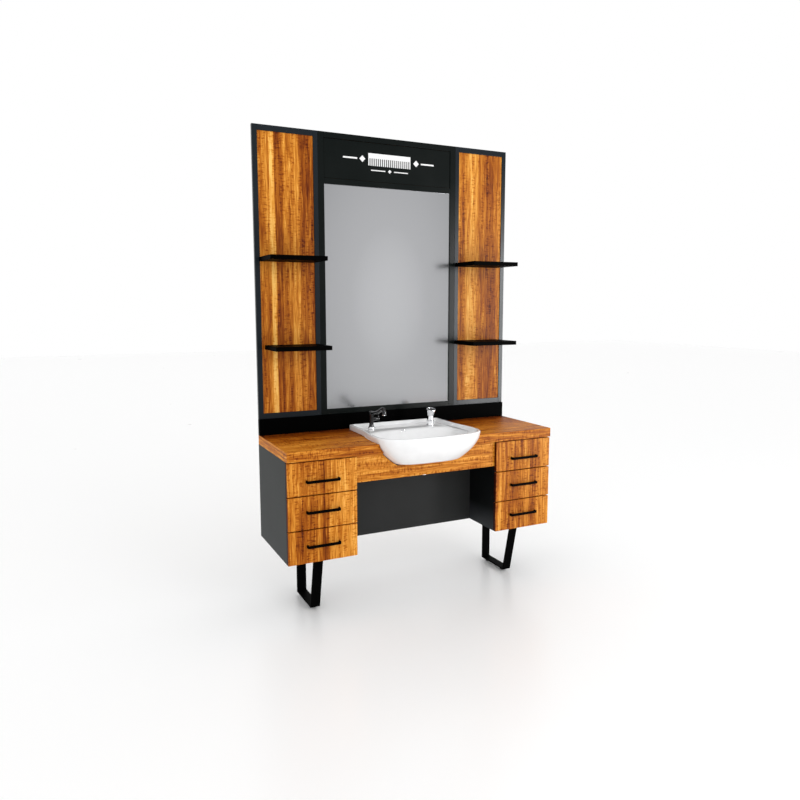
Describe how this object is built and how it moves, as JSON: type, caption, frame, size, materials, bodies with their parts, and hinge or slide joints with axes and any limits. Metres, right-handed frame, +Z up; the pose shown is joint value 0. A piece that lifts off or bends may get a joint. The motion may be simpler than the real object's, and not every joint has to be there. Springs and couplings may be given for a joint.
{
  "type": "salon styling station",
  "caption": "Barber styling station: drawer pedestals on bar legs, wood worktop with recessed basin, mirror wall unit with shelves.",
  "frame": {"origin": "on the floor under the middle of the station's overall width and depth", "axes": "+X to the right seen from the front, +Y towards the wall, +Z up"},
  "size_m": [1.5, 0.6, 2.405],
  "materials": {
    "wood_top": "satin wood-grain board, grain along the width",
    "wood_apron": "satin wood-grain board, grain along the width",
    "wood_front": "satin wood-grain board, upright grain",
    "wood_panel": "satin wood-grain board, upright grain",
    "drawer_board": "pale melamine board",
    "raw_board": "raw fibreboard",
    "dark_board": "anthracite melamine",
    "black_board": "black melamine",
    "black_lacquer": "black satin lacquer",
    "black_steel": "black powder coat",
    "zinc_steel": "zinc plated",
    "black_plastic": "moulded",
    "white_acrylic": "white cut acrylic",
    "mirror": "silvered glass",
    "ceramic": "white glaze",
    "chrome": "polished",
    "black_tap": "gloss black coat"
  },
  "bodies": {
    "station": {"worktop": "wood_top", "apron": "wood_apron", "modesty_panel": "dark_board", "carcass_rails": "dark_board", "carcass_backs": "dark_board", "cabinet_runners": "zinc_steel", "left_outer_side": "dark_board", "left_inner_side": "dark_board", "left_bottom": "dark_board", "left_leg": "black_steel", "left_frame": "black_lacquer", "left_wood_panel": "wood_panel", "left_lower_shelf": "black_board", "left_upper_shelf": "black_board", "right_outer_side": "dark_board", "right_inner_side": "dark_board", "right_bottom": "dark_board", "right_leg": "black_steel", "right_frame": "black_lacquer", "right_wood_panel": "wood_panel", "right_lower_shelf": "black_board", "right_upper_shelf": "black_board", "leg_screws": "zinc_steel", "glides": "black_plastic", "centre_frame": "black_lacquer", "header_panel": "black_board", "emblem": "white_acrylic", "mirror_glass": "mirror", "mirror_board": "raw_board", "back_boards": "raw_board", "backsplash": "black_board", "shelf_pins": "zinc_steel", "basin": "ceramic", "basin_waste": "chrome", "tap_body": "black_tap", "sprayer_holder": "chrome"},
    "tap_spout": {"tap_spout": "black_tap"},
    "tap_lever": {"tap_lever": "black_tap"},
    "sprayer": {"sprayer_handset": "chrome"},
    "waste_plug": {"waste_plug": "chrome"},
    "left_bottom_drawer": {"left_bottom_front": "wood_front", "left_bottom_box": "drawer_board", "left_bottom_handle": "black_steel"},
    "left_middle_drawer": {"left_middle_front": "wood_front", "left_middle_box": "drawer_board", "left_middle_handle": "black_steel"},
    "left_top_drawer": {"left_top_front": "wood_front", "left_top_box": "drawer_board", "left_top_handle": "black_steel"},
    "right_bottom_drawer": {"right_bottom_front": "wood_front", "right_bottom_box": "drawer_board", "right_bottom_handle": "black_steel"},
    "right_middle_drawer": {"right_middle_front": "wood_front", "right_middle_box": "drawer_board", "right_middle_handle": "black_steel"},
    "right_top_drawer": {"right_top_front": "wood_front", "right_top_box": "drawer_board", "right_top_handle": "black_steel"}
  },
  "joints": [
    {"name": "left_bottom_drawer_slide", "type": "slide", "parent": "station", "child": "left_bottom_drawer", "axis": [0, -1, 0], "range_m": [0, 0.3]},
    {"name": "left_middle_drawer_slide", "type": "slide", "parent": "station", "child": "left_middle_drawer", "axis": [0, -1, 0], "range_m": [0, 0.3]},
    {"name": "left_top_drawer_slide", "type": "slide", "parent": "station", "child": "left_top_drawer", "axis": [0, -1, 0], "range_m": [0, 0.3]},
    {"name": "right_bottom_drawer_slide", "type": "slide", "parent": "station", "child": "right_bottom_drawer", "axis": [0, -1, 0], "range_m": [0, 0.3]},
    {"name": "right_middle_drawer_slide", "type": "slide", "parent": "station", "child": "right_middle_drawer", "axis": [0, -1, 0], "range_m": [0, 0.3]},
    {"name": "right_top_drawer_slide", "type": "slide", "parent": "station", "child": "right_top_drawer", "axis": [0, -1, 0], "range_m": [0, 0.3]},
    {"name": "tap_spout_swivel", "type": "hinge", "parent": "station", "child": "tap_spout", "pos_m": [-0.172, 0.155, 0.92], "axis": [0, 0, 1], "range_deg": [-60, 60]},
    {"name": "tap_lever_turn", "type": "hinge", "parent": "station", "child": "tap_lever", "pos_m": [-0.13, 0.155, 0.908], "axis": [1, 0, 0], "range_deg": [0, 90]},
    {"name": "sprayer_lift", "type": "slide", "parent": "station", "child": "sprayer", "axis": [0, 0, 1], "range_m": [0, 0.3]},
    {"name": "waste_plug_lift", "type": "slide", "parent": "station", "child": "waste_plug", "axis": [0, 0, 1], "range_m": [0, 0.008]}
  ]
}
